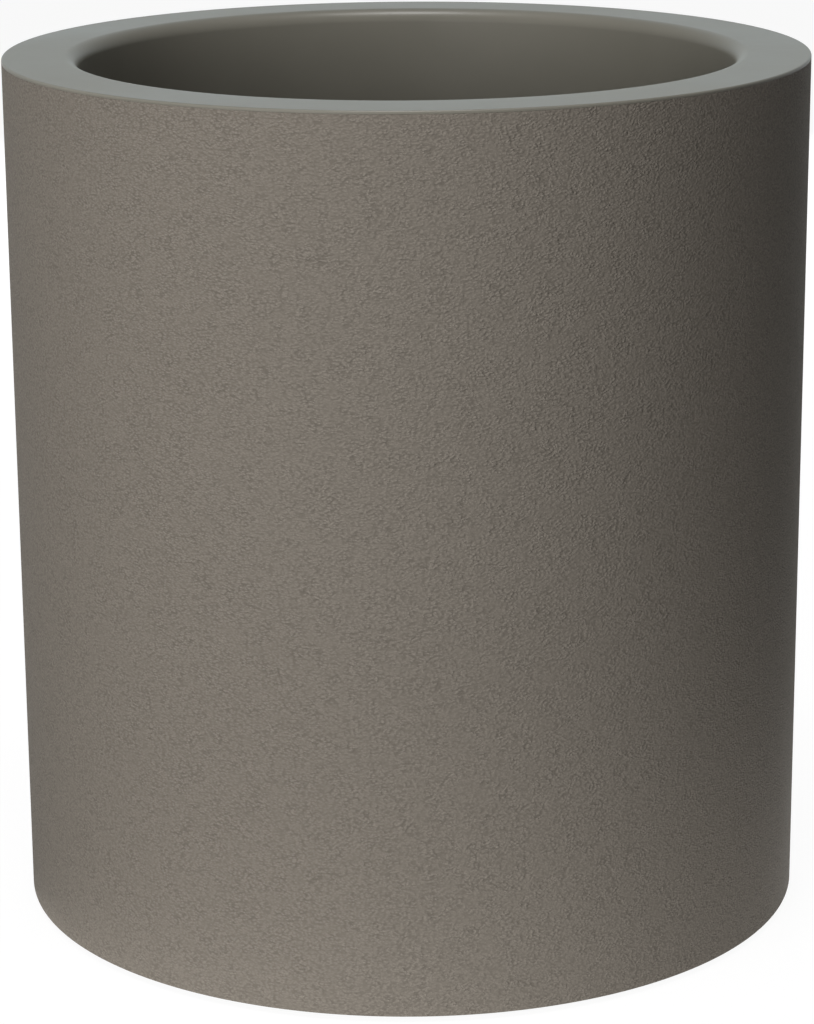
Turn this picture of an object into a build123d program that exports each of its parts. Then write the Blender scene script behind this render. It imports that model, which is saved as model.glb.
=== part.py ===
"""Round double-walled plastic planter, in millimetres, +Z up, origin on the ground under its centre.

A grained outer sleeve and a smooth inner pot make the double wall. The pot's flat rim caps the
sleeve, a ribbed base plate closes it from below, and both joints are annular snap fits. Four
bungs close the drains in the pot's floor, and each one pulls up and out of the pot.
"""

import os

from build123d import *

# Overall form
rim_diameter = 400.0  # across the rim's outer edge
overall_height = 434.0  # ground to the rim's flat face
wall_draw_in = 0.6  # mould draft: how much smaller the sleeve's radius is at its foot
edge_gap = 2.5  # the sleeve's lower edge hangs this far off the ground, for run-off

# Outer sleeve
shell_wall = 2.8
foot_chamfer = 0.8  # outer corner of the sleeve's lower edge
ledge_reach = 5.0  # the ring inside the sleeve that the base plate is pushed up against
ledge_thickness = 2.5

# Rim of the inner pot
rim_flat = 30.0  # width of the flat face
lip_round = 7.0  # roll from the flat face down into the pot
rim_edge = 1.6  # thin outer edge of the rim, which covers the sleeve's top
rim_edge_round = 1.0
skirt_depth = 17.0  # the ring under the rim that plugs into the sleeve
skirt_wall = 2.2
gusset_count = 16
gusset_wall = 1.8
gusset_depth = 13.0

# Wall and floor of the inner pot
pot_wall = 2.8
floor_diameter = 300.0  # inside, where the wall meets the floor
floor_level = 30.0  # inside floor beside the drain channel, above the ground
floor_round = 12.0
floor_fall = 2.0  # how much the floor drops from its centre and its edge to the channel
centre_pad = 24.0  # flat disc at the middle of the floor
under_rib_count = 8
under_rib_wall = 2.2
hub_diameter = 60.0  # ring rib under the middle of the floor

# Drains
drain_count = 4
drain_circle = 120.0
drain_bore = 18.0
channel_depth = 4.0
channel_room = 4.0  # beside the bung's head, at the bottom of the channel
channel_slope = 4.0  # horizontal run of the channel's sloping sides
spigot_wall = 2.5  # the spigots end level with the ribs around them

# Base plate
base_level = 15.0  # upper face of the base plate, above the ground
base_thickness = 2.8
base_skirt_wall = 2.5
outlet_diameter = 194.0  # opening in the middle of the plate, under the drains
foot_ring_inset = 13.0  # between the plate's edge and the outer ring of feet
foot_ring_wall = 6.0  # the inner ring of feet stands around the outlet
foot_gap_count = 8  # gaps in the outer ring, where water runs out
inner_gap_count = 4
foot_gap_width = 34.0
skirt_lift = 3.5  # the base plate's skirt ends this far above the ground
base_rib_count = 16
base_rib_wall = 2.0
rib_lift = 5.0  # and its ribs this far
vent_count = 8
vent_inset = 11.0  # from the outer ring of feet to the middle of each vent
vent_length = 26.0
vent_width = 6.0

# Annular snap fits
fit_clearance = 0.3  # between a skirt and the sleeve
snap_reach = 1.0  # how far a bead stands out of its skirt
snap_height = 4.0
snap_play = 0.2  # around a bead in its groove
rim_snap_drop = 11.0  # bead under the rim, below the flat face
base_snap_drop = 7.0  # bead on the base plate, below its upper face

# Drain bungs
head_diameter = 28.0
head_thickness = 2.4
head_chamfer = 0.5
stem_clearance = 0.05  # radial, at the top of the stem
stem_length = 10.5
stem_taper = 0.8  # how much smaller the stem's radius is at its tip
stem_wall = 1.8
pull_radius = 7.5  # half-round tab on the head, for finger and thumb
pull_thickness = 3.0

# Radii and levels that follow from the sizes above
rim_radius = rim_diameter / 2
sleeve_top = overall_height - rim_edge
mouth_radius = rim_radius - rim_flat - lip_round
seat_level = floor_level - channel_depth
drain_angle = 180 / drain_count
channel_middle = drain_circle / 2
channel_half = head_diameter / 2 + channel_room
base_underside = base_level - base_thickness
head_top = seat_level + head_thickness
rim_snap_level = overall_height - rim_snap_drop
base_snap_level = base_level - base_snap_drop
rim_underside = overall_height - pot_wall


def wall_radius(level):
    """Outer radius of the sleeve at a height above the ground."""
    share = (sleeve_top - level) / (sleeve_top - edge_gap)
    return rim_radius - wall_draw_in * share


def bore_radius(level):
    """Inner radius of the sleeve at a height above the ground."""
    return wall_radius(level) - shell_wall


def snap_ridge(root, face, level, reach, height):
    """Corners of a ridge with 45 degree flanks that stands out of a face, from a root behind it."""
    half = height / 2
    return [
        (root, level - half),
        (face, level - half),
        (face + reach, level - half + reach),
        (face + reach, level + half - reach),
        (face, level + half),
        (root, level + half),
    ]


def snap_groove(level):
    """Corners of the groove in the sleeve's bore, deeper and wider than its bead by the play."""
    bore = bore_radius(level)
    reach = snap_reach - fit_clearance + snap_play
    return snap_ridge(bore - snap_play, bore, level, reach, snap_height + 2 * snap_play)


def skirt_face(level):
    """Outer radius of a skirt that carries its bead at that height."""
    return bore_radius(level) - fit_clearance


def snap_bead(level, wall):
    """Corners of the bead on a skirt of that wall."""
    face = skirt_face(level)
    return snap_ridge(face - wall / 2, face, level, snap_reach, snap_height)


def pot_inside():
    """The line of the pot's inside, from the middle of its floor out to the rim's outer edge."""
    floor_radius = floor_diameter / 2
    return FilletPolyline(
        (0, floor_level + floor_fall),
        (centre_pad / 2, floor_level + floor_fall),
        (channel_middle - channel_half - channel_slope, floor_level),
        (channel_middle - channel_half, seat_level),
        (channel_middle + channel_half, seat_level),
        (channel_middle + channel_half + channel_slope, floor_level),
        (floor_radius, floor_level + floor_fall),
        (mouth_radius, overall_height),
        (rim_radius, overall_height),
        radius=[0, 0, 0, 0, 0, floor_round, lip_round],
    )


# Outer sleeve: a tall ring with a snap groove near each end and a ledge above the base plate
with BuildPart() as outer_sleeve:
    with BuildSketch(Plane.XZ):
        with BuildLine():
            Polyline(
                (wall_radius(edge_gap), edge_gap),
                (rim_radius, sleeve_top),
                (bore_radius(sleeve_top), sleeve_top),
                (bore_radius(edge_gap), edge_gap),
                close=True,
            )
        make_face()
        with BuildLine():
            Polyline(
                (bore_radius(base_level) + shell_wall / 2, base_level),
                (bore_radius(base_level) - ledge_reach, base_level),
                (bore_radius(base_level) - ledge_reach, base_level + ledge_thickness),
                (bore_radius(base_level) + shell_wall / 2, base_level + ledge_thickness),
                close=True,
            )
        make_face()
        for groove_level in (base_snap_level, rim_snap_level):
            with BuildLine():
                Polyline(*snap_groove(groove_level), close=True)
            make_face(mode=Mode.SUBTRACT)
    revolve(axis=Axis.Z)
    foot_corner = outer_sleeve.edges().group_by(Axis.Z)[0].sort_by(SortBy.LENGTH)[-1]
    chamfer(foot_corner, foot_chamfer)

# Inner pot: one wall thickness from the middle of the floor to the rim's outer edge
plug_face = skirt_face(rim_snap_level)
with BuildPart() as inner_pot:
    # Ribs, spigots and gussets come first, and all end halfway through the wall that they carry
    with BuildSketch(Plane.XY.offset(base_level)):
        with PolarLocations(floor_diameter / 4, under_rib_count, start_angle=180 / under_rib_count):
            Rectangle(floor_diameter / 2, under_rib_wall)
        Circle(hub_diameter / 2 + under_rib_wall / 2)
        Circle(hub_diameter / 2 - under_rib_wall / 2, mode=Mode.SUBTRACT)
    extrude(amount=floor_level + floor_round - base_level)
    with BuildSketch(Plane.XY.offset(base_level)):
        with PolarLocations(channel_middle, drain_count, start_angle=drain_angle):
            Circle(drain_bore / 2 + spigot_wall)
    extrude(amount=seat_level - base_level)
    with BuildSketch(Plane.XY.offset(rim_underside - gusset_depth)):
        gusset_reach = plug_face - skirt_wall / 2 - mouth_radius
        with PolarLocations(mouth_radius + gusset_reach / 2, gusset_count, start_angle=180 / gusset_count):
            Rectangle(gusset_reach, gusset_wall)
    extrude(amount=gusset_depth + pot_wall / 2)
    with BuildSketch(Plane.XZ):
        with BuildLine():
            middle = offset(
                pot_inside(),
                pot_wall / 2,
                kind=Kind.INTERSECTION,
                side=Side.RIGHT,
                closed=False,
                mode=Mode.REPLACE,
            )
            hub, edge = middle.vertices().sort_by(Axis.X)[0], middle.vertices().sort_by(Axis.X)[-1]
            above = overall_height + lip_round
            Polyline((edge.X, edge.Y), (edge.X, above), (hub.X, above), (hub.X, hub.Y))
        make_face()
    revolve(axis=Axis.Z, mode=Mode.SUBTRACT)
    # The shell itself, then its skirt with the bead, and the step that lets the sleeve's top in
    with BuildSketch(Plane.XZ):
        with BuildLine():
            pot_inside()
            offset(amount=pot_wall, kind=Kind.INTERSECTION, side=Side.RIGHT)
        make_face()
        with BuildLine():
            Polyline(
                (plug_face - skirt_wall, overall_height - skirt_depth),
                (plug_face, overall_height - skirt_depth),
                (plug_face, rim_underside + pot_wall / 2),
                (plug_face - skirt_wall, rim_underside + pot_wall / 2),
                close=True,
            )
        make_face()
        with BuildLine():
            Polyline(*snap_bead(rim_snap_level, skirt_wall), close=True)
        make_face()
        with BuildLine():
            Polyline(
                (plug_face, sleeve_top),
                (rim_radius + shell_wall, sleeve_top),
                (rim_radius + shell_wall, sleeve_top - pot_wall),
                (plug_face, sleeve_top - pot_wall),
                close=True,
            )
        make_face(mode=Mode.SUBTRACT)
    revolve(axis=Axis.Z)
    rim_circles = inner_pot.edges().filter_by(GeomType.CIRCLE).group_by(Axis.Z)[-1]
    fillet(rim_circles.sort_by(SortBy.LENGTH)[-1], rim_edge_round)
    with Locations(Plane.XY.offset(seat_level)):
        with PolarLocations(channel_middle, drain_count, start_angle=drain_angle):
            Hole(drain_bore / 2)

# Base plate: an open disc with a snap skirt, two rings of feet, radial ribs and vents
base_face = skirt_face(base_snap_level)
outlet_radius = outlet_diameter / 2
with BuildPart() as base_plate:
    outer_ring_radius = base_face - foot_ring_inset - foot_ring_wall / 2
    inner_ring_radius = outlet_radius + foot_ring_wall / 2
    rings = ((outer_ring_radius, foot_gap_count), (inner_ring_radius, inner_gap_count))
    for ring_radius, gap_count in rings:
        with BuildSketch():
            Circle(ring_radius + foot_ring_wall / 2)
            Circle(ring_radius - foot_ring_wall / 2, mode=Mode.SUBTRACT)
            with PolarLocations(ring_radius, gap_count):
                Rectangle(2 * foot_ring_wall, foot_gap_width, mode=Mode.SUBTRACT)
        extrude(amount=base_level - base_thickness / 2)
    with BuildSketch(Plane.XY.offset(rib_lift)):
        rib_reach = base_face - base_skirt_wall / 2 - inner_ring_radius
        rib_middle = inner_ring_radius + rib_reach / 2
        with PolarLocations(rib_middle, base_rib_count, start_angle=180 / base_rib_count):
            Rectangle(rib_reach, base_rib_wall)
    extrude(amount=base_level - base_thickness / 2 - rib_lift)
    with BuildSketch(Plane.XZ):
        with BuildLine():
            Polyline(
                (outlet_radius, base_level),
                (base_face, base_level),
                (base_face, skirt_lift),
                (base_face - base_skirt_wall, skirt_lift),
                (base_face - base_skirt_wall, base_underside),
                (outlet_radius, base_underside),
                close=True,
            )
        make_face()
        with BuildLine():
            Polyline(*snap_bead(base_snap_level, base_skirt_wall), close=True)
        make_face()
    revolve(axis=Axis.Z)
    with BuildSketch(Plane.XY.offset(base_level)):
        vent_radius = outer_ring_radius - foot_ring_wall / 2 - vent_inset
        with PolarLocations(vent_radius, vent_count):
            SlotOverall(vent_length, vent_width, rotation=90)
    extrude(amount=-base_level, mode=Mode.SUBTRACT)

# Drain bung: a round head, a hollow tapered stem and a half-round tab
with BuildPart() as drain_bung:
    stem_radius = drain_bore / 2 - stem_clearance
    stem_tip = seat_level - stem_length
    with BuildSketch(Plane.XZ):
        with BuildLine():
            Polyline(
                (0, head_top),
                (head_diameter / 2, head_top),
                (head_diameter / 2, seat_level),
                (stem_radius, seat_level),
                (stem_radius - stem_taper, stem_tip),
                (stem_radius - stem_taper - stem_wall, stem_tip),
                (stem_radius - stem_wall, seat_level),
                (0, seat_level),
                close=True,
            )
        make_face()
    revolve(axis=Axis.Z)
    chamfer(drain_bung.edges().group_by(Axis.Z)[-1], head_chamfer)
    with BuildSketch(Plane.XZ):
        with BuildLine():
            tab = CenterArc((0, head_top), pull_radius, 0, 180)
            root_level = head_top - head_thickness / 2
            Polyline(tab @ 1, (-pull_radius, root_level), (pull_radius, root_level), tab @ 0)
        make_face()
    extrude(amount=pull_thickness / 2, both=True)

bungs = {}
drain_places = PolarLocations(channel_middle, drain_count, start_angle=drain_angle)
for number, place in enumerate(drain_places, start=1):
    bungs[f"drain_bung_{number}"] = drain_bung.part.moved(place)

# Write every piece where it stands
pieces = {
    "outer_sleeve": outer_sleeve.part,
    "inner_pot": inner_pot.part,
    "base_plate": base_plate.part,
    **bungs,
}
os.makedirs("parts", exist_ok=True)
for name, piece in pieces.items():
    piece.label = name
    export_step(piece, f"parts/{name}.step")
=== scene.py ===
import math

import bpy
import bmesh
from mathutils import Matrix, Vector


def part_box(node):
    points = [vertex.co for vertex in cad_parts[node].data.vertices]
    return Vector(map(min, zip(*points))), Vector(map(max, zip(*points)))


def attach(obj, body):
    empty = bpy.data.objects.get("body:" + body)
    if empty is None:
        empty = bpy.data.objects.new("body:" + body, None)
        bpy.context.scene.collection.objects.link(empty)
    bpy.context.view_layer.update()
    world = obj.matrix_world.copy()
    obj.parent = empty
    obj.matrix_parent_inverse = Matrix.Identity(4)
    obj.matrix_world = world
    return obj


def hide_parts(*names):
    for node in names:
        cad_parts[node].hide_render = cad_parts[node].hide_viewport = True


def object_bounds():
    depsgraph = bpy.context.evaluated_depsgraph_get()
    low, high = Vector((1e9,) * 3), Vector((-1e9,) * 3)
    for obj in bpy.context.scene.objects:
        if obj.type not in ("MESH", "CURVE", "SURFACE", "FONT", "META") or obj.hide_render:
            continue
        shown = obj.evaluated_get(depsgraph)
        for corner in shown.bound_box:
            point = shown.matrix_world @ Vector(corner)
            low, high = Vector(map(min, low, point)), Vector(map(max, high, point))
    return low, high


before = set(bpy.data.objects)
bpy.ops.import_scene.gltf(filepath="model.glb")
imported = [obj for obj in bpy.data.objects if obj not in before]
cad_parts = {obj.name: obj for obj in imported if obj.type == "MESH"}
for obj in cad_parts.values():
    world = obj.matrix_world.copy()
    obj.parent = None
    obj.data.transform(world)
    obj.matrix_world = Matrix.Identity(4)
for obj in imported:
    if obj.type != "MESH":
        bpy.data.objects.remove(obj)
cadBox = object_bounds()
print("frame loaded")

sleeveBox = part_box("outer_sleeve")
rimRadius = (cadBox[1].x - cadBox[0].x) / 2
topLevel = cadBox[1].z
millimetre = 0.001
weldDistance = 1e-6

# Heights at which the three shells meet
deckLevel = 15 * millimetre      # top of the base plate, below the sleeve's ledge and the pot's ribs
rimSnapLevel = 423 * millimetre      # the pot snaps into the sleeve here
baseSnapLevel = 8 * millimetre      # and the base plate here


# How an outline is turned into a piece

def roundCorner(bm, corner, radius, segments):
    before, after = [edge.other_vert(corner).co - corner.co for edge in corner.link_edges]
    turn = math.pi - before.angle(after)
    setback = radius * math.tan(turn / 2)
    bmesh.ops.bevel(bm, geom=[corner], offset=setback, offset_type='OFFSET', segments=segments,
                    profile=0.5, affect='VERTICES', material=-1)


def splitLongEdges(bm, longest):
    for edge in list(bm.edges):
        cuts = int(edge.calc_length() / longest)
        if cuts:
            bmesh.ops.subdivide_edges(bm, edges=[edge], cuts=cuts)


def turnOutline(name, outline, steps, closed, longest=12 * millimetre, segments=8):
    bm = bmesh.new()      # each corner is (radius, height, rounding)
    corners = [bm.verts.new((radius, 0, height)) for radius, height, rounding in outline]
    for first, second in zip(corners, corners[1:]):
        bm.edges.new((first, second))
    if closed:
        bm.edges.new((corners[-1], corners[0]))
    for corner, (radius, height, rounding) in zip(corners, outline):
        if rounding:
            roundCorner(bm, corner, rounding, segments)
    splitLongEdges(bm, longest)
    bmesh.ops.spin(bm, geom=bm.verts[:] + bm.edges[:], cent=(0, 0, 0), axis=(0, 0, 1),
                   angle=2 * math.pi, steps=steps, use_merge=True)
    bmesh.ops.remove_doubles(bm, verts=bm.verts, dist=weldDistance)
    bmesh.ops.recalc_face_normals(bm, faces=bm.faces)
    return finishMesh(name, bm)


def plates(name, outline, thickness, turns):
    bm = bmesh.new()      # upright plates set round the axis, each corner is (x, height)
    for turn in turns:
        near = [bm.verts.new((x, -thickness / 2, height)) for x, height in outline]
        grown = bmesh.ops.extrude_face_region(bm, geom=[bm.faces.new(near)])["geom"]
        far = [part for part in grown if isinstance(part, bmesh.types.BMVert)]
        bmesh.ops.translate(bm, verts=far, vec=(0, thickness, 0))
        bmesh.ops.rotate(bm, verts=near + far, cent=(0, 0, 0), matrix=Matrix.Rotation(turn, 3, 'Z'))
    bmesh.ops.recalc_face_normals(bm, faces=bm.faces)
    return finishMesh(name, bm)


def rods(name, radius, bottom, top, places, segments=64):
    bm = bmesh.new()
    for x, y in places:
        made = bmesh.ops.create_cone(bm, cap_ends=True, segments=segments, radius1=radius, radius2=radius,
                                     depth=top - bottom)
        bmesh.ops.translate(bm, verts=made["verts"], vec=(x, y, (top + bottom) / 2))
    return finishMesh(name, bm)


def ring(name, inside, outside, bottom, top, steps):
    outline = [(outside, bottom, 0), (outside, top, 0), (inside, top, 0), (inside, bottom, 0)]
    return turnOutline(name, outline, steps, closed=True)


def turnsRound(count, start=0.0):
    return [math.tau * number / count + start for number in range(count)]


def merge(piece, tool, operation):      # one solid out of two, or one cut by the other
    change = piece.modifiers.new(tool.name, 'BOOLEAN')
    change.operation = operation
    change.solver = 'EXACT'
    change.object = tool
    graph = bpy.context.evaluated_depsgraph_get()
    result = bpy.data.meshes.new_from_object(piece.evaluated_get(graph))
    piece.modifiers.clear()
    piece.data = result
    bpy.data.objects.remove(tool)


def finishMesh(name, bm):
    mesh = bpy.data.meshes.new(name)
    bm.to_mesh(mesh)
    bm.free()
    piece = bpy.data.objects.new(name, mesh)
    bpy.context.scene.collection.objects.link(piece)
    return piece


def smoothShade(piece, sharpAngle=35):
    piece.data.polygons.foreach_set("use_smooth", [True] * len(piece.data.polygons))
    piece.data.set_sharp_from_angle(angle=math.radians(sharpAngle))
    weighted = piece.modifiers.new("even shading", 'WEIGHTED_NORMAL')
    weighted.keep_sharp = True


# The snap fits, beads on the pot and the base plate and slightly taller grooves in the sleeve

snapBead = {"reach": 1 * millimetre, "height": 4 * millimetre}
snapGroove = {"reach": 0.9 * millimetre, "height": 4.4 * millimetre}


def snapCorners(face, level, snap):      # of a bead or a groove, from its top down
    half, reach = snap["height"] / 2, snap["reach"]
    return [
        (face, level + half, 0), (face + reach, level + half - reach, 0),
        (face + reach, level - half + reach, 0), (face, level - half, 0),
    ]


# The outer sleeve, a tall turned shell

sleeve = {
    "drawIn": 0.6 * millimetre,      # mould draft, the foot is narrower by this
    "wall": 2.8 * millimetre,
    "footRound": 1.0 * millimetre,
    "smallRound": 0.25 * millimetre,
    "ledgeReach": 5 * millimetre,
    "ledgeThickness": 2.5 * millimetre,
    "steps": 256,
}


def makeSleeve(size):
    foot, top = sleeveBox[0].z, sleeveBox[1].z
    outside = rimRadius
    inside = outside - size["wall"]
    narrow = inside - size["drawIn"]
    small = size["smallRound"]
    outline = [
        (outside, top, small),
        (inside, top, small),
        *snapCorners(inside, rimSnapLevel, snapGroove),
        (narrow, deckLevel + size["ledgeThickness"], 0),
        (narrow - size["ledgeReach"], deckLevel + size["ledgeThickness"], small),
        (narrow - size["ledgeReach"], deckLevel, small),
        (narrow, deckLevel, 0),
        *snapCorners(narrow, baseSnapLevel, snapGroove),
        (narrow, foot, small),
        (outside - size["drawIn"], foot, size["footRound"]),
    ]
    piece = turnOutline("grainedSleeve", outline, size["steps"], closed=True)
    smoothShade(piece)
    return piece


# The inner pot, from the middle of its floor out to the rim and back below, with its ribs and drains

pot = {
    "wall": 2.8 * millimetre,
    "floorLevel": 30 * millimetre,
    "floorFall": 2 * millimetre,
    "centrePad": 12 * millimetre,
    "seatLevel": 26 * millimetre,      # bottom of the drain channel, where the bungs sit
    "channelInside": 42 * millimetre,
    "channelOutside": 78 * millimetre,
    "channelSlope": 4 * millimetre,
    "channelRound": 1.5 * millimetre,
    "floorRadius": 150 * millimetre,
    "floorRound": 12 * millimetre,
    "rimFlat": 30 * millimetre,
    "lipRound": 7 * millimetre,
    "rimEdge": 1.6 * millimetre,
    "rimEdgeRound": 1.0 * millimetre,
    "skirtFace": 196.9 * millimetre,
    "skirtWall": 2.2 * millimetre,
    "skirtDepth": 17 * millimetre,
    "smallRound": 0.4 * millimetre,
    "ribCount": 8,
    "ribWall": 2.2 * millimetre,
    "hubRadius": 30 * millimetre,
    "hubSteps": 96,
    "drainCount": 4,
    "drainCircle": 60 * millimetre,
    "drainBore": 9 * millimetre,
    "spigotWall": 2.5 * millimetre,
    "gussetCount": 16,
    "gussetWall": 1.8 * millimetre,
    "gussetDepth": 13 * millimetre,
    "gussetBend": (0.3, 0.45),      # across and down, where its edge follows the lip, in lip roundings
    "gussetTop": 0.8,      # across, where it reaches the flat of the rim
    "steps": 256,
}


def drainPlaces(size):
    radius, count = size["drainCircle"], size["drainCount"]
    turns = turnsRound(count, math.pi / count)
    return [(radius * math.cos(turn), radius * math.sin(turn)) for turn in turns]


def makeRibs(size):      # ribs, hub and spigots, with tops halfway through the floor that they carry
    half, floor, foot = size["wall"] / 2, size["floorLevel"], deckLevel
    seat, middle = size["seatLevel"] - half, floor + size["floorFall"] - half
    inner, outer, slope = size["channelInside"], size["channelOutside"], size["channelSlope"]
    reach, thickness = size["floorRadius"] - half, size["ribWall"]
    right = [
        (size["centrePad"], middle),
        (inner - slope, floor - half),
        (inner, seat),
        (outer, seat),
        (outer + slope, floor - half),
        (reach - size["floorRound"], middle),
        (reach, floor + size["floorFall"]),
    ]
    left = [(-x, height) for x, height in reversed(right)]
    profile = left + right + [(reach, foot), (-reach, foot)]
    count = size["ribCount"]      # a plate across the whole pot makes two ribs, so half the turns will do
    turns = turnsRound(count, math.pi / count)[:count // 2]
    ribs = plates("ribs", profile, thickness, turns[:1])
    for turn in turns[1:]:
        merge(ribs, plates("rib", profile, thickness, [turn]), 'UNION')
    hub = size["hubRadius"]
    hubRing = ring("hub", hub - thickness / 2, hub + thickness / 2, foot, middle - half, size["hubSteps"])
    merge(ribs, hubRing, 'UNION')
    spigots = rods("spigots", size["drainBore"] + size["spigotWall"], foot, seat, drainPlaces(size))
    merge(ribs, spigots, 'UNION')
    return ribs


def makeGussets(size):      # small plates under the rim, between the pot's wall and its skirt
    half, lip = size["wall"] / 2, size["lipRound"]
    mouth = rimRadius - size["rimFlat"] - lip + half
    skirt = size["skirtFace"] - size["skirtWall"] / 2
    low, high = topLevel - size["wall"] - size["gussetDepth"], topLevel - half
    across, down = size["gussetBend"]
    profile = [
        (mouth, low),
        (mouth, topLevel - lip),
        (mouth + across * lip, topLevel - down * lip),
        (mouth + size["gussetTop"] * lip, high),
        (skirt, high),
        (skirt, low),
    ]
    turns = turnsRound(size["gussetCount"], math.pi / size["gussetCount"])
    return plates("gussets", profile, size["gussetWall"], turns)


def makePot(size):
    wall, top, floor = size["wall"], topLevel, size["floorLevel"]
    mouth = rimRadius - size["rimFlat"] - size["lipRound"]
    inner, outer, slope = size["channelInside"], size["channelOutside"], size["channelSlope"]
    halfCorner = math.radians(22.5)
    bend = wall * math.tan(halfCorner)      # how far a 45 degree corner moves through the wall
    middle = floor + size["floorFall"]
    skirt, small = size["skirtFace"], size["smallRound"]
    inside = [
        (0, middle, 0),
        (size["centrePad"], middle, 0),
        (inner - slope, floor, size["channelRound"]),
        (inner, size["seatLevel"], size["channelRound"]),
        (outer, size["seatLevel"], size["channelRound"]),
        (outer + slope, floor, size["channelRound"]),
        (size["floorRadius"], middle, size["floorRound"]),
        (mouth, top, size["lipRound"]),
        (rimRadius, top, size["rimEdgeRound"]),
        (rimRadius, top - size["rimEdge"], small / 2),
    ]
    skirtLine = [
        (skirt, top - size["rimEdge"], 0),
        *snapCorners(skirt, rimSnapLevel, snapBead),
        (skirt, top - size["skirtDepth"], small),
        (skirt - size["skirtWall"], top - size["skirtDepth"], small),
        (skirt - size["skirtWall"], top - wall, small),
    ]
    underside = [
        (mouth + wall, top - wall, size["lipRound"] - wall),
        (size["floorRadius"] + wall, middle - wall, size["floorRound"] + wall),
        (outer + slope + bend, floor - wall, 0),
        (outer + bend, size["seatLevel"] - wall, size["channelRound"]),
        (inner - bend, size["seatLevel"] - wall, size["channelRound"]),
        (inner - slope - bend, floor - wall, 0),
        (size["centrePad"], middle - wall, 0),
        (0, middle - wall, 0),
    ]
    piece = turnOutline("smoothPot", inside + skirtLine + underside, size["steps"], closed=False)
    merge(piece, makeRibs(size), 'UNION')
    merge(piece, makeGussets(size), 'UNION')
    bores = rods("bores", size["drainBore"], deckLevel - wall, floor + wall, drainPlaces(size))
    merge(piece, bores, 'DIFFERENCE')
    smoothShade(piece)
    return piece


# The base plate, an open disc on two rings of feet

basePlate = {
    "edge": 196.3 * millimetre,
    "outlet": 97 * millimetre,
    "thickness": 2.8 * millimetre,
    "skirtWall": 2.5 * millimetre,
    "skirtLift": 3.5 * millimetre,
    "smallRound": 0.4 * millimetre,
    "ringWall": 5.9 * millimetre,
    "outerRing": (180.3 * millimetre, 8),      # radius and number of gaps for the water
    "innerRing": (100 * millimetre, 4),
    "gapWidth": 34 * millimetre,
    "ribCount": 16,
    "ribWall": 2 * millimetre,
    "ribLift": 5 * millimetre,
    "ventCount": 8,
    "ventCircle": 166.3 * millimetre,
    "ventLength": 26 * millimetre,
    "ventWidth": 6 * millimetre,
    "ventSteps": 30,
    "ventTurn": math.radians(6),      # half a step
    "steps": 256,
}


def makeFeet(size, radius, gaps):
    wall, top = size["ringWall"], deckLevel - size["thickness"] / 2
    feet = ring("feet", radius - wall / 2, radius + wall / 2, 0, top, size["steps"])
    slot = [
        (radius - wall, -top), (radius + wall, -top),
        (radius + wall, 2 * top), (radius - wall, 2 * top),
    ]
    merge(feet, plates("gaps", slot, size["gapWidth"], turnsRound(gaps)), 'DIFFERENCE')
    return feet


def makeVents(size):      # rods pulled out into slots, tall enough to cut right through the plate
    bm = bmesh.new()
    radius, through = size["ventWidth"] / 2, 4 * size["thickness"]
    stretch = (size["ventLength"] - size["ventWidth"]) / 2
    for turn in turnsRound(size["ventCount"]):
        made = bmesh.ops.create_cone(bm, cap_ends=True, segments=size["ventSteps"], radius1=radius,
                                     radius2=radius, depth=through)["verts"]
        bmesh.ops.rotate(bm, verts=made, cent=(0, 0, 0), matrix=Matrix.Rotation(size["ventTurn"], 3, 'Z'))
        for vert in made:
            vert.co.y += math.copysign(stretch, vert.co.y)
        bmesh.ops.translate(bm, verts=made, vec=(size["ventCircle"], 0, deckLevel))
        bmesh.ops.rotate(bm, verts=made, cent=(0, 0, 0), matrix=Matrix.Rotation(turn, 3, 'Z'))
    return finishMesh("vents", bm)


def makeBasePlate(size):
    edge, small = size["edge"], size["smallRound"]
    skirtInside, under = edge - size["skirtWall"], deckLevel - size["thickness"]
    outline = [
        (size["outlet"], deckLevel, small),
        (edge, deckLevel, small),
        *snapCorners(edge, baseSnapLevel, snapBead),
        (edge, size["skirtLift"], small),
        (skirtInside, size["skirtLift"], small),
        (skirtInside, under, small),
        (size["outlet"], under, 0),
    ]
    piece = turnOutline("basePlate", outline, size["steps"], closed=True)
    for radius, gaps in (size["outerRing"], size["innerRing"]):
        merge(piece, makeFeet(size, radius, gaps), 'UNION')
    inner, outer = size["innerRing"][0], edge - size["skirtWall"] / 2
    low, middle = size["ribLift"], deckLevel - size["thickness"] / 2
    rib = [(inner, low), (outer, low), (outer, middle), (inner, middle)]
    turns = turnsRound(size["ribCount"], math.pi / size["ribCount"])
    merge(piece, plates("ribs", rib, size["ribWall"], turns), 'UNION')
    merge(piece, makeVents(size), 'DIFFERENCE')
    smoothShade(piece)
    return piece


# The four drain bungs, each a round head with a half-round tab and a hollow stem

bung = {
    "headRadius": 14 * millimetre,
    "headThickness": 2.4 * millimetre,
    "headRound": 0.6 * millimetre,
    "stemRadius": 8.95 * millimetre,
    "stemTaper": 0.8 * millimetre,
    "stemWall": 1.8 * millimetre,
    "stemLength": 10.5 * millimetre,
    "smallRound": 0.25 * millimetre,
    "tabRadius": 7.5 * millimetre,
    "tabThickness": 3 * millimetre,
    "tabRound": 0.5 * millimetre,
    "tabRoundSteps": 3,
    "tabSteps": 24,
    "longestEdge": 6 * millimetre,
    "roundSteps": 4,
    "steps": 96,
}


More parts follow.
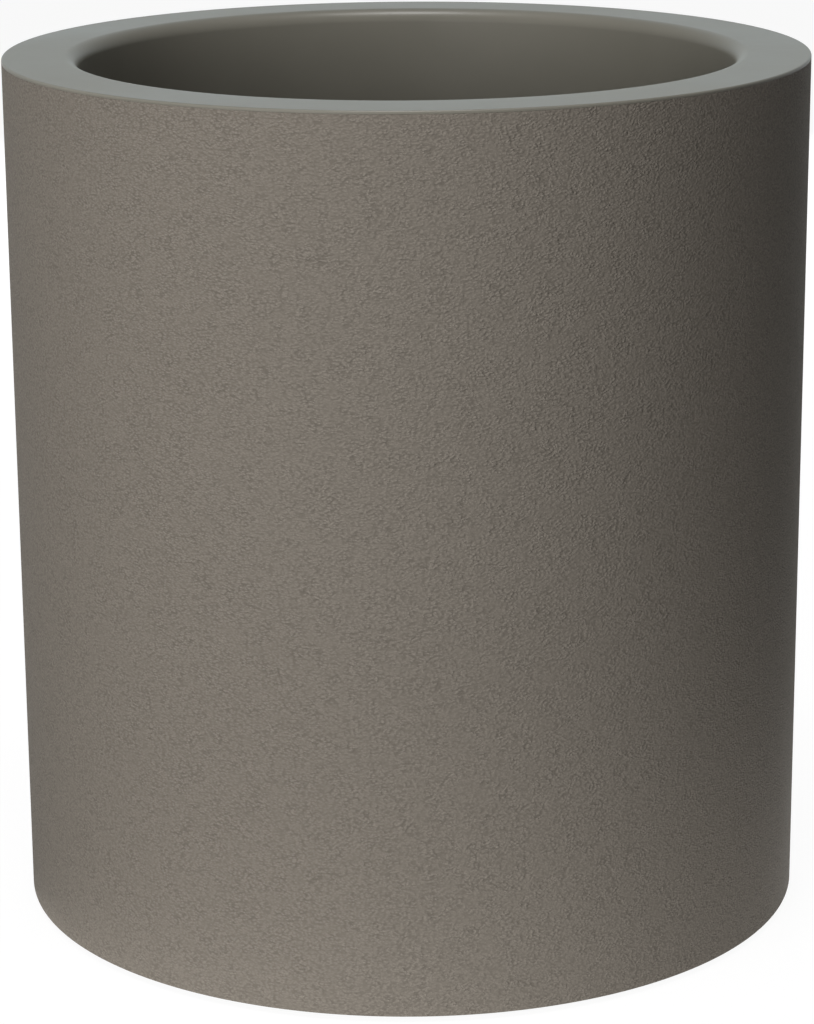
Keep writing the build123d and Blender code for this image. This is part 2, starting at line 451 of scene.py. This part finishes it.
def makeTab(size, root):      # a half disc on a short foot, with its rims rounded
    arc = [math.pi * number / size["tabSteps"] for number in range(size["tabSteps"] + 1)]
    radius, low = size["tabRadius"], root - size["headThickness"] / 2
    outline = [(radius * math.cos(turn), root + radius * math.sin(turn)) for turn in arc]
    outline += [(-radius, low), (radius, low)]
    tab = plates("tab", outline, size["tabThickness"], [0])
    bm = bmesh.new()
    bm.from_mesh(tab.data)
    rims = [edge for edge in bm.edges if any(len(face.verts) != 4 for face in edge.link_faces)]
    bmesh.ops.bevel(bm, geom=rims, offset=size["tabRound"], offset_type='OFFSET',
                    segments=size["tabRoundSteps"], profile=0.5, affect='EDGES', material=-1)
    bm.to_mesh(tab.data)
    bm.free()
    return tab


def makeBung(name, size, place, seat):
    stem, tip = size["stemRadius"], seat - size["stemLength"]
    head, small = seat + size["headThickness"], size["smallRound"]
    outline = [
        (0, head, 0),
        (size["headRadius"], head, size["headRound"]),
        (size["headRadius"], seat, small),
        (stem, seat, 0),
        (stem - size["stemTaper"], tip, small),
        (stem - size["stemTaper"] - size["stemWall"], tip, small),
        (stem - size["stemWall"], seat, small),
        (0, seat, 0),
    ]
    piece = turnOutline(name, outline, size["steps"], closed=False, longest=size["longestEdge"],
                        segments=size["roundSteps"])
    merge(piece, makeTab(size, head), 'UNION')
    piece.data.transform(Matrix.Translation((*place, 0)))
    smoothShade(piece)
    return piece


# Materials, all on Object coordinates so that the pattern runs round the curve without a seam

def newMaterial(name, color, roughness, specular):
    material = bpy.data.materials.new(name)
    material.use_nodes = True
    shader = material.node_tree.nodes["Principled BSDF"]
    shader.inputs["Base Color"].default_value = opaque(color)
    shader.inputs["Roughness"].default_value = roughness
    shader.inputs["Specular IOR Level"].default_value = specular
    return material, material.node_tree, shader


def addNode(tree, kind, settings=None, **values):
    node = tree.nodes.new(kind)
    for name, value in (settings or {}).items():
        setattr(node, name, value)
    for name, value in values.items():
        node.inputs[name].default_value = value
    return node


def ramp(tree, source, span, colors):
    node = tree.nodes.new("ShaderNodeValToRGB")
    for stop, position, color in zip(node.color_ramp.elements, span, colors):
        stop.position = position
        stop.color = color
    tree.links.new(source, node.inputs["Fac"])
    return node.outputs["Color"]


def opaque(color):
    return (*color, 1)


def grey(value):
    return opaque((value, value, value))


grain = {
    "color": (0.202, 0.179, 0.151),
    "lowColor": (0.163, 0.144, 0.121),      # painted shade in the hollows of the grain
    "highColor": (0.268, 0.239, 0.204),      # painted highlight on its tops
    "roughness": 0.65,
    "specular": 0.04,
    "flatten": 1.6,      # the pebbles are this much wider than tall
    "cellScale": 680.0,
    "cellSmoothness": 0.7,
    "wanderShare": 0.6,      # of the cells' scale
    "wander": 0.0016,
    "fineScale": 1200.0,
    "fineRoughness": 0.55,
    "fineShare": 0.4,
    "detail": 2.0,
    "patchScale": 140.0,
    "patchDetail": 3.0,
    "patchSpan": (0.32, 0.66),
    "patchStrength": (0.4, 1.0),
    "pebbleSpan": (0.15, 0.75),
    "tintSpan": (0.25, 0.8),
    "depth": 0.0007,
}


def makeGrainMaterial(look):      # irregular pebbles and a finer grain, stronger and weaker in patches, coloured with painted shade in the hollows and a painted highlight on the tops
    material, tree, shader = newMaterial("grained shell", look["color"], look["roughness"],
                                         look["specular"])
    links = tree.links
    whole = tree.nodes.new("ShaderNodeTexCoord").outputs["Object"]
    flatten = addNode(tree, "ShaderNodeMapping", Scale=(1, 1, look["flatten"]))
    links.new(whole, flatten.inputs["Vector"])
    place = flatten.outputs["Vector"]
    wander = addNode(tree, "ShaderNodeTexNoise", Scale=look["cellScale"] * look["wanderShare"],
                     Detail=look["detail"])
    links.new(place, wander.inputs["Vector"])
    shift = addNode(tree, "ShaderNodeVectorMath", {"operation": 'MULTIPLY_ADD'})
    shift.inputs[1].default_value = (look["wander"], look["wander"], look["wander"])
    links.new(wander.outputs["Color"], shift.inputs[0])
    links.new(place, shift.inputs[2])
    cells = addNode(tree, "ShaderNodeTexVoronoi", {"feature": 'SMOOTH_F1'}, Scale=look["cellScale"],
                    Smoothness=look["cellSmoothness"])
    links.new(shift.outputs["Vector"], cells.inputs["Vector"])
    fine = addNode(tree, "ShaderNodeTexNoise", Scale=look["fineScale"], Detail=look["detail"],
                   Roughness=look["fineRoughness"])
    links.new(place, fine.inputs["Vector"])
    patches = addNode(tree, "ShaderNodeTexNoise", Scale=look["patchScale"], Detail=look["patchDetail"])
    links.new(whole, patches.inputs["Vector"])
    strength = ramp(tree, patches.outputs["Fac"], look["patchSpan"], map(grey, look["patchStrength"]))
    pebbles = ramp(tree, cells.outputs["Distance"], look["pebbleSpan"], (grey(1.0), grey(0.0)))
    height = addNode(tree, "ShaderNodeMix", {"data_type": 'FLOAT'})
    height.inputs["Factor"].default_value = look["fineShare"]
    links.new(pebbles, height.inputs["A"])
    links.new(fine.outputs["Fac"], height.inputs["B"])
    bump = addNode(tree, "ShaderNodeBump", Distance=look["depth"])
    links.new(strength, bump.inputs["Strength"])
    links.new(height.outputs["Result"], bump.inputs["Height"])
    links.new(bump.outputs["Normal"], shader.inputs["Normal"])
    # painted shade and highlight: the colour runs darker into the grain's hollows and lighter on its tops,
    # more of it where the patches are strong
    tint = ramp(tree, height.outputs["Result"], look["tintSpan"],
                (opaque(look["lowColor"]), opaque(look["highColor"])))
    paintedGrainShade = addNode(tree, "ShaderNodeMix", {"data_type": 'RGBA'})
    paintedGrainShade.inputs["A"].default_value = opaque(look["color"])
    links.new(strength, paintedGrainShade.inputs["Factor"])
    links.new(tint, paintedGrainShade.inputs["B"])
    links.new(paintedGrainShade.outputs["Result"], shader.inputs["Base Color"])
    return material


smooth = {
    "color": (0.204, 0.193, 0.161),
    "lowColor": (0.195, 0.185, 0.154),
    "highColor": (0.212, 0.201, 0.168),
    "roughness": (0.30, 0.38),
    "specular": 0.055,
    "cloudScale": 9.0,
    "peelScale": 160.0,      # the faint orange peel of a moulded face
    "depth": 0.00006,
}

baseFinish = {
    "color": (0.120, 0.108, 0.095),
    "lowColor": (0.112, 0.101, 0.089),
    "highColor": (0.128, 0.116, 0.102),
    "roughness": (0.50, 0.64),
    "specular": 0.16,
    "cloudScale": 14.0,
    "peelScale": 420.0,
    "depth": 0.00008,
}

bungFinish = {
    "color": (0.120, 0.108, 0.095),
    "lowColor": (0.114, 0.103, 0.090),
    "highColor": (0.128, 0.115, 0.101),
    "roughness": (0.42, 0.55),
    "specular": 0.2,
    "cloudScale": 60.0,
    "peelScale": 500.0,
    "depth": 0.00005,
}

smoothPattern = {      # the same for the three smooth finishes
    "cloudDetail": 4.0,
    "cloudRoughness": 0.6,
    "tintSpan": (0.35, 0.65),
    "sheenSpan": (0.3, 0.7),
    "peelDetail": 2.0,
    "peelStrength": 0.6,
}


def makeSmoothMaterial(name, look, pattern):
    material, tree, shader = newMaterial(name, look["color"], look["roughness"][0], look["specular"])
    links = tree.links
    place = tree.nodes.new("ShaderNodeTexCoord").outputs["Object"]
    cloud = addNode(tree, "ShaderNodeTexNoise", Scale=look["cloudScale"], Detail=pattern["cloudDetail"],
                    Roughness=pattern["cloudRoughness"])
    links.new(place, cloud.inputs["Vector"])
    tint = ramp(tree, cloud.outputs["Fac"], pattern["tintSpan"],
                (opaque(look["lowColor"]), opaque(look["highColor"])))
    links.new(tint, shader.inputs["Base Color"])
    sheen = ramp(tree, cloud.outputs["Fac"], pattern["sheenSpan"], map(grey, look["roughness"]))
    links.new(sheen, shader.inputs["Roughness"])
    peel = addNode(tree, "ShaderNodeTexNoise", Scale=look["peelScale"], Detail=pattern["peelDetail"])
    links.new(place, peel.inputs["Vector"])
    bump = addNode(tree, "ShaderNodeBump", Strength=pattern["peelStrength"], Distance=look["depth"])
    links.new(peel.outputs["Fac"], bump.inputs["Height"])
    links.new(bump.outputs["Normal"], shader.inputs["Normal"])
    return material


# The studio: a pale floor in white surroundings, six round lamps and the photograph's camera

studio = {
    "floorSize": 30.0,
    "floorDrop": 0.0001,      # just under the feet, so that the two faces don't share a plane
    "floorColor": (0.9, 0.9, 0.9),
    "floorBounce": (0.13, 0.13, 0.13),      # what the floor sends back to the object
    "floorRoughness": 0.9,
    "floorSpecular": 0.0,
    "floorGlow": 0.88,
    "whiteLevel": 1.06,
    "worldColor": (0.95, 0.98, 1.0),
    "worldLight": 0.05,
    "mirrored": (0.84, 0.95, 1.0),      # the slightly cool white in reflections
}

wholeSpan = (0.0, 1.0)      # of a ramp between two kinds of ray
waist = (0, 0, 0.22)      # about the middle of the planter

lamps = [      # topCard only shows in reflections; topSoft and behind give light and never show in them
    {"name": "topSoft", "place": (-0.03, -0.50, 2.57), "aim": waist, "size": 0.9, "power": 28.0,
     "mirrored": False},
    {"name": "topCard", "place": (0.0, -0.10, 2.60), "aim": waist, "size": 0.9, "power": 135.0,
     "lights": False},
    {"name": "lowLeft", "place": (-1.68, -1.68, 0.56), "aim": waist, "size": 1.0, "power": 16.5},
    {"name": "lowFront", "place": (-0.81, -2.23, 0.56), "aim": waist, "size": 1.0, "power": 28.5},
    {"name": "behind", "place": (0.0, 2.38, 0.56), "aim": waist, "size": 1.0, "power": 32.0,
     "mirrored": False},
    {"name": "nearFloor", "place": (0.10, -0.06, 0.002), "aim": (0.10, -0.06, 1), "size": 0.60,
     "power": 0.57},
]

view = {      # the first six are fitted to the photograph's outlines, in metres, radians and pixels
    "distance": 1.6721,
    "aboveRim": 0.22422,
    "pitchDown": 0.2698,
    "yaw": 0.000675,
    "roll": -0.0066,
    "focalPixels": 3364.76,
    "tallPixels": 1024,
    "sensor": 36.0,
    "farthest": 100,
}


def aim(thing, place, target):
    thing.location = place
    thing.rotation_euler = (Vector(target) - Vector(place)).to_track_quat('-Z', 'Y').to_euler()


def seenDirectly(tree):      # 1 for the camera and reflections, 0 for the light on the object
    paths = tree.nodes.new("ShaderNodeLightPath")
    total = paths.outputs["Is Camera Ray"]
    for kind in ("Is Glossy Ray", "Is Transmission Ray"):
        either = addNode(tree, "ShaderNodeMath", {"operation": 'MAXIMUM'})
        tree.links.new(total, either.inputs[0])
        tree.links.new(paths.outputs[kind], either.inputs[1])
        total = either.outputs[0]
    return total


def mixShaders(tree, share, first, second, output):
    mix = tree.nodes.new("ShaderNodeMixShader")
    tree.links.new(share, mix.inputs["Fac"])
    tree.links.new(first, mix.inputs[1])
    tree.links.new(second, mix.inputs[2])
    tree.links.new(mix.outputs["Shader"], tree.nodes[output].inputs["Surface"])


def makeFloor(look):
    bm = bmesh.new()
    bmesh.ops.create_grid(bm, x_segments=1, y_segments=1, size=look["floorSize"] / 2)
    bmesh.ops.translate(bm, verts=bm.verts, vec=(0, 0, -look["floorDrop"]))
    floor = finishMesh("floor", bm)
    material, tree, shader = newMaterial("pale floor", look["floorColor"], look["floorRoughness"],
                                         look["floorSpecular"])
    seen = seenDirectly(tree)
    shade = ramp(tree, seen, wholeSpan, (opaque(look["floorBounce"]), opaque(look["floorColor"])))
    tree.links.new(shade, shader.inputs["Base Color"])
    glow = addNode(tree, "ShaderNodeEmission", Strength=look["whiteLevel"])
    share = addNode(tree, "ShaderNodeMath", {"operation": 'MULTIPLY'})
    share.inputs[1].default_value = look["floorGlow"]
    tree.links.new(seen, share.inputs[0])
    mixShaders(tree, share.outputs[0], shader.outputs["BSDF"], glow.outputs["Emission"], "Material Output")
    floor.data.materials.append(material)


def makeWorld(look):
    world = bpy.data.worlds.new("studio")
    bpy.context.scene.world = world
    world.use_nodes = True
    tree = world.node_tree
    plain = tree.nodes["Background"]
    plain.inputs["Color"].default_value = opaque(look["worldColor"])
    plain.inputs["Strength"].default_value = look["worldLight"]
    white = addNode(tree, "ShaderNodeBackground", Strength=1.0)
    glossy = tree.nodes.new("ShaderNodeLightPath").outputs["Is Glossy Ray"]
    shade = ramp(tree, glossy, wholeSpan, (grey(1.0), opaque(look["mirrored"])))
    tree.links.new(shade, white.inputs["Color"])
    mixShaders(tree, seenDirectly(tree), plain.outputs["Background"], white.outputs["Background"],
               "World Output")


def makeLamp(look):
    light = bpy.data.lights.new(look["name"], 'AREA')
    light.shape = 'DISK'
    light.size = look["size"]
    light.energy = look["power"]
    lamp = bpy.data.objects.new(look["name"], light)
    lamp.visible_camera = False
    lamp.visible_diffuse = look.get("lights", True)
    lamp.visible_glossy = look.get("mirrored", True)
    bpy.context.scene.collection.objects.link(lamp)
    aim(lamp, look["place"], look["aim"])


def makeCamera(shot):
    camera = bpy.data.cameras.new("camera")
    camera.sensor_fit = 'VERTICAL'
    camera.sensor_height = shot["sensor"]
    camera.lens = shot["focalPixels"] / shot["tallPixels"] * shot["sensor"]
    camera.clip_end = shot["farthest"]
    stand = bpy.data.objects.new("camera", camera)
    bpy.context.scene.collection.objects.link(stand)
    turn = (Matrix.Rotation(shot["yaw"], 4, 'Z')
            @ Matrix.Rotation(math.pi / 2 - shot["pitchDown"], 4, 'X')
            @ Matrix.Rotation(shot["roll"], 4, 'Z'))
    stand.matrix_world = Matrix.Translation((0, -shot["distance"], topLevel + shot["aboveRim"])) @ turn
    bpy.context.scene.camera = stand


grainMaterial = makeGrainMaterial(grain)
smoothMaterial = makeSmoothMaterial("smooth pot", smooth, smoothPattern)
baseMaterial = makeSmoothMaterial("base", baseFinish, smoothPattern)
bungMaterial = makeSmoothMaterial("bung", bungFinish, smoothPattern)
print("materials made")

sleevePiece = makeSleeve(sleeve)
sleevePiece.data.materials.append(grainMaterial)
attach(sleevePiece, "planter")
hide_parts("outer_sleeve")

potPiece = makePot(pot)
potPiece.data.materials.append(smoothMaterial)
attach(potPiece, "planter")
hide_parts("inner_pot")
print("sleeve and pot made")

basePiece = makeBasePlate(basePlate)
basePiece.data.materials.append(baseMaterial)
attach(basePiece, "planter")
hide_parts("base_plate")

for number, place in enumerate(drainPlaces(pot), start=1):
    bungPiece = makeBung(f"drainBung{number}", bung, place, pot["seatLevel"])
    bungPiece.data.materials.append(bungMaterial)
    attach(bungPiece, f"bung_{number}")
    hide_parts(f"drain_bung_{number}")
print("base plate and bungs made")

makeFloor(studio)
makeWorld(studio)
for lamp in lamps:
    makeLamp(lamp)
makeCamera(view)
bpy.context.scene.view_settings.view_transform = 'Standard'
print("studio set")
